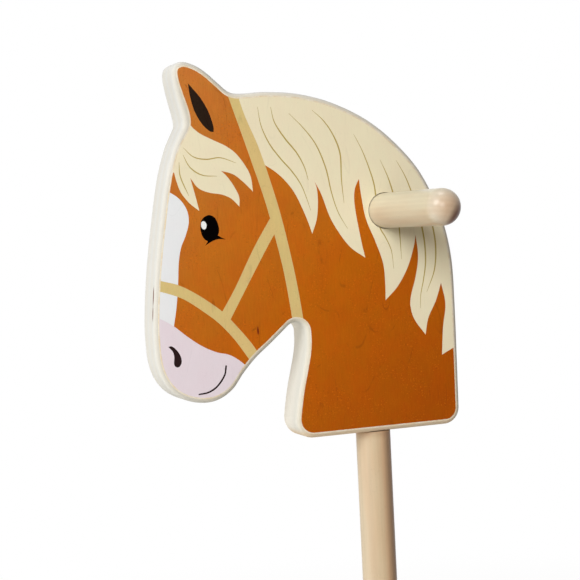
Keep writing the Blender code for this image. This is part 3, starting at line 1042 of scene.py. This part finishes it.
foot = {
    "tone": (36, 36, 38),
    "dust": (74, 72, 70),
    "dustShows": (0.45, 0.75, 0, 0.35),
    "gloss": 0.62,
    "uneven": (-0.06, 0.1),
    "relief": 0.03,
    "wall": 3,
    "soleRound": 1.5,
    "soleSteps": 5,
    "lipRound": 0.8,
    "lipSteps": 4,
    "boreChamfer": 0.2,
    "ribs": 4,
    "ribWidth": 2.6,
    "ribDepth": 0.45,
    "ribSteps": 4,
    "treads": 4,
    "treadDepth": 0.6,
    "treadHalf": (1, 0.6),  # half a groove's width, at its mouth and at its floor
    "sides": 96,
    "clouds": {
        "mottle": {"sizes": (5, 5, 5), "detail": 4, "roughness": 0.6},
        "pits": {"sizes": (0.5, 0.5, 0.5)},
    },
}


def rubberFinish():
    material, tree, shader = newMaterial("foot rubber", foot["gloss"])
    clouds = cloudsOf(tree, foot)
    dusty = spread(tree, clouds["mottle"], *foot["dustShows"])
    base = mixed(tree, dusty, colour(*foot["tone"]), colour(*foot["dust"]))
    connect(tree, shader, base, clouds["mottle"], clouds["pits"], foot)
    return material


def buildFoot():
    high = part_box("rubber_foot")[1]
    stickLow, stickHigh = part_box("stick")
    gap = stick["boreGap"]
    base, top = high.x / mm, high.z / mm
    bore, sole = stickHigh.x / mm + gap, stickLow.z / mm - gap
    rim = bore + foot["wall"]
    lip, soleRound = foot["lipRound"], foot["soleRound"]
    mouth, floor = foot["treadHalf"]
    profile = [(0, 0)]
    treadGap = (base - soleRound) / (foot["treads"] + 1)
    for i in range(1, foot["treads"] + 1):
        middle = treadGap * i
        profile += [(middle - mouth, 0), (middle - floor, foot["treadDepth"])]
        profile += [(middle + floor, foot["treadDepth"]), (middle + mouth, 0)]
    profile += rounded(base - soleRound, soleRound, soleRound, -90, 0, foot["soleSteps"])
    profile += [(base, sole)]
    slope = (rim - base) / (top - lip - sole)
    ribGap = (top - lip - sole) / (foot["ribs"] + 1)
    ribSteps, chamfer = foot["ribSteps"], foot["boreChamfer"]
    for i in range(1, foot["ribs"] + 1):
        middle = sole + ribGap * i
        for k in range(-ribSteps, ribSteps + 1):
            height = middle + k / ribSteps * foot["ribWidth"] / 2
            dip = foot["ribDepth"] * (0.5 + 0.5 * math.cos(math.pi * k / ribSteps))
            profile.append((base + slope * (height - sole) - dip, height))
    profile += rounded(rim - lip, top - lip, lip, 0, 90, foot["lipSteps"])
    profile += [(bore + chamfer, top), (bore, top - chamfer), (bore, sole), (0, sole)]
    piece = turnedPiece("foot_cup", profile, foot["sides"], rubberFinish())
    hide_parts("rubber_foot")
    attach(piece, "root")


buildFoot()
print("foot built")


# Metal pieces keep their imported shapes

metals = {
    "threaded_insert": {"tone": (196, 168, 104), "dull": (168, 138, 82), "gloss": 0.32},
    "hanger_bolt": {"tone": (206, 208, 210), "dull": (176, 178, 176), "gloss": 0.3},
}
metal = {
    "uneven": (-0.06, 0.1),
    "relief": 0.01,
    "dullShows": (0.4, 0.7),
    "clouds": {
        "turning": {"sizes": (3, 3, 0.12)},
        "stains": {"sizes": (4, 4, 4), "detail": 3},
    },
}


def metalFinish(name):
    values = metal | metals[name]
    material, tree, shader = newMaterial(name + " metal", values["gloss"], metallic=1)
    clouds = cloudsOf(tree, values)
    dull = spread(tree, clouds["stains"], *values["dullShows"])
    base = mixed(tree, dull, colour(*values["tone"]), colour(*values["dull"]))
    connect(tree, shader, base, clouds["stains"], clouds["turning"], values)
    return material


for name in metals:
    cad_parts[name].data.materials.clear()
    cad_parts[name].data.materials.append(metalFinish(name))
print("metal finishes set")


# Studio: a pale floor, white surroundings for the camera, and soft lamps

studio = {
    "floorRadius": 9,
    "floorSides": 96,
    "floorTone": (206, 204, 199),
    "floorLift": (0.6, 1),  # how much of the floor's white is its own, near the foot and far from it
    "floorLiftFrom": (0.5, 2.2),  # metres from the foot
    "shade": (0.08, 0.045, 0.022, 1),  # the faint warm light of the room on all sides
    "aimAt": (-0.04, 0, 0.69),
    "warm": (1, 0.96, 0.87),  # the bounce lamp's tint
    "lamps": {
        # degrees round from the board's front towards the nose, degrees up, distance, width, height, power
        "key": (60, 28, 2, 1, 1, 34.6),
        "fill": (22, 15, 2, 0.8, 0.8, 15),
        "bounce": (95, -40, 0.75, 0.8, 0.4, 2.25),
        "top": (0, 88, 2, 0.8, 0.8, 11.8),
        "back": (150, 8, 2.6, 0.8, 0.8, 12),
        "rear": (212, 10, 2.6, 0.8, 0.8, 13),
    },
    "noHighlight": ("back", "rear"),  # these lamps light the piece but don't mirror in it
}


def seenDirectly(tree):
    # 1 for what the camera sees, also in a mirror or through glass, and 0 for the light on the piece
    rays = addNode(tree, "LightPath", {}).outputs
    seen = calc(tree, "MAXIMUM", rays["Is Camera Ray"], rays["Is Glossy Ray"])
    return calc(tree, "MAXIMUM", seen, rays["Is Transmission Ray"])


def addFloor():
    shape = bmesh.new()
    bmesh.ops.create_circle(shape, cap_ends=True, segments=studio["floorSides"], radius=studio["floorRadius"])
    mesh = meshFrom(shape, "floor")
    material = bpy.data.materials.new("floor")
    material.use_nodes = True
    tree = material.node_tree
    tree.nodes.remove(tree.nodes["Principled BSDF"])
    place = addNode(tree, "TexCoord", {})
    length = addNode(tree, "VectorMath", {0: place.outputs["Object"]}, operation="LENGTH").outputs["Value"]
    lift = spread(tree, length, *studio["floorLiftFrom"], *studio["floorLift"])
    paint = addNode(tree, "BsdfDiffuse", {"Color": colour(*studio["floorTone"])}).outputs[0]
    white = addNode(tree, "Emission", {"Color": (1, 1, 1, 1), "Strength": 1}).outputs[0]
    both = addNode(tree, "MixShader", {0: times(tree, seenDirectly(tree), lift), 1: paint, 2: white})
    tree.links.new(both.outputs[0], tree.nodes["Material Output"].inputs["Surface"])
    mesh.materials.append(material)
    floor = addObject("floor", mesh)


def addWorld():
    world = bpy.data.worlds.new("studio")
    bpy.context.scene.world = world
    world.use_nodes = True
    tree = world.node_tree
    light = mixed(tree, seenDirectly(tree), studio["shade"], (1, 1, 1, 1))
    tree.links.new(light, tree.nodes["Background"].inputs["Color"])


def addLamps():
    for name, (turn, rise, distance, width, height, power) in studio["lamps"].items():
        turn, rise = math.radians(turn), math.radians(rise)
        out = Vector((-math.sin(turn) * math.cos(rise), -math.cos(turn) * math.cos(rise), math.sin(rise)))
        data = bpy.data.lights.new(name, "AREA")
        data.shape = "RECTANGLE"
        data.size = width
        data.size_y = height
        data.energy = power
        data.color = studio["warm"] if name == "bounce" else (1, 1, 1)
        lamp = addObject(name, data)
        lamp.location = Vector(studio["aimAt"]) + out * distance
        lamp.rotation_euler = out.to_track_quat("Z", "Y").to_euler()
        lamp.visible_camera = False
        lamp.visible_glossy = name not in studio["noHighlight"]


addFloor()
addWorld()
addLamps()
bpy.context.scene.view_settings.view_transform = "Standard"
print("studio set")
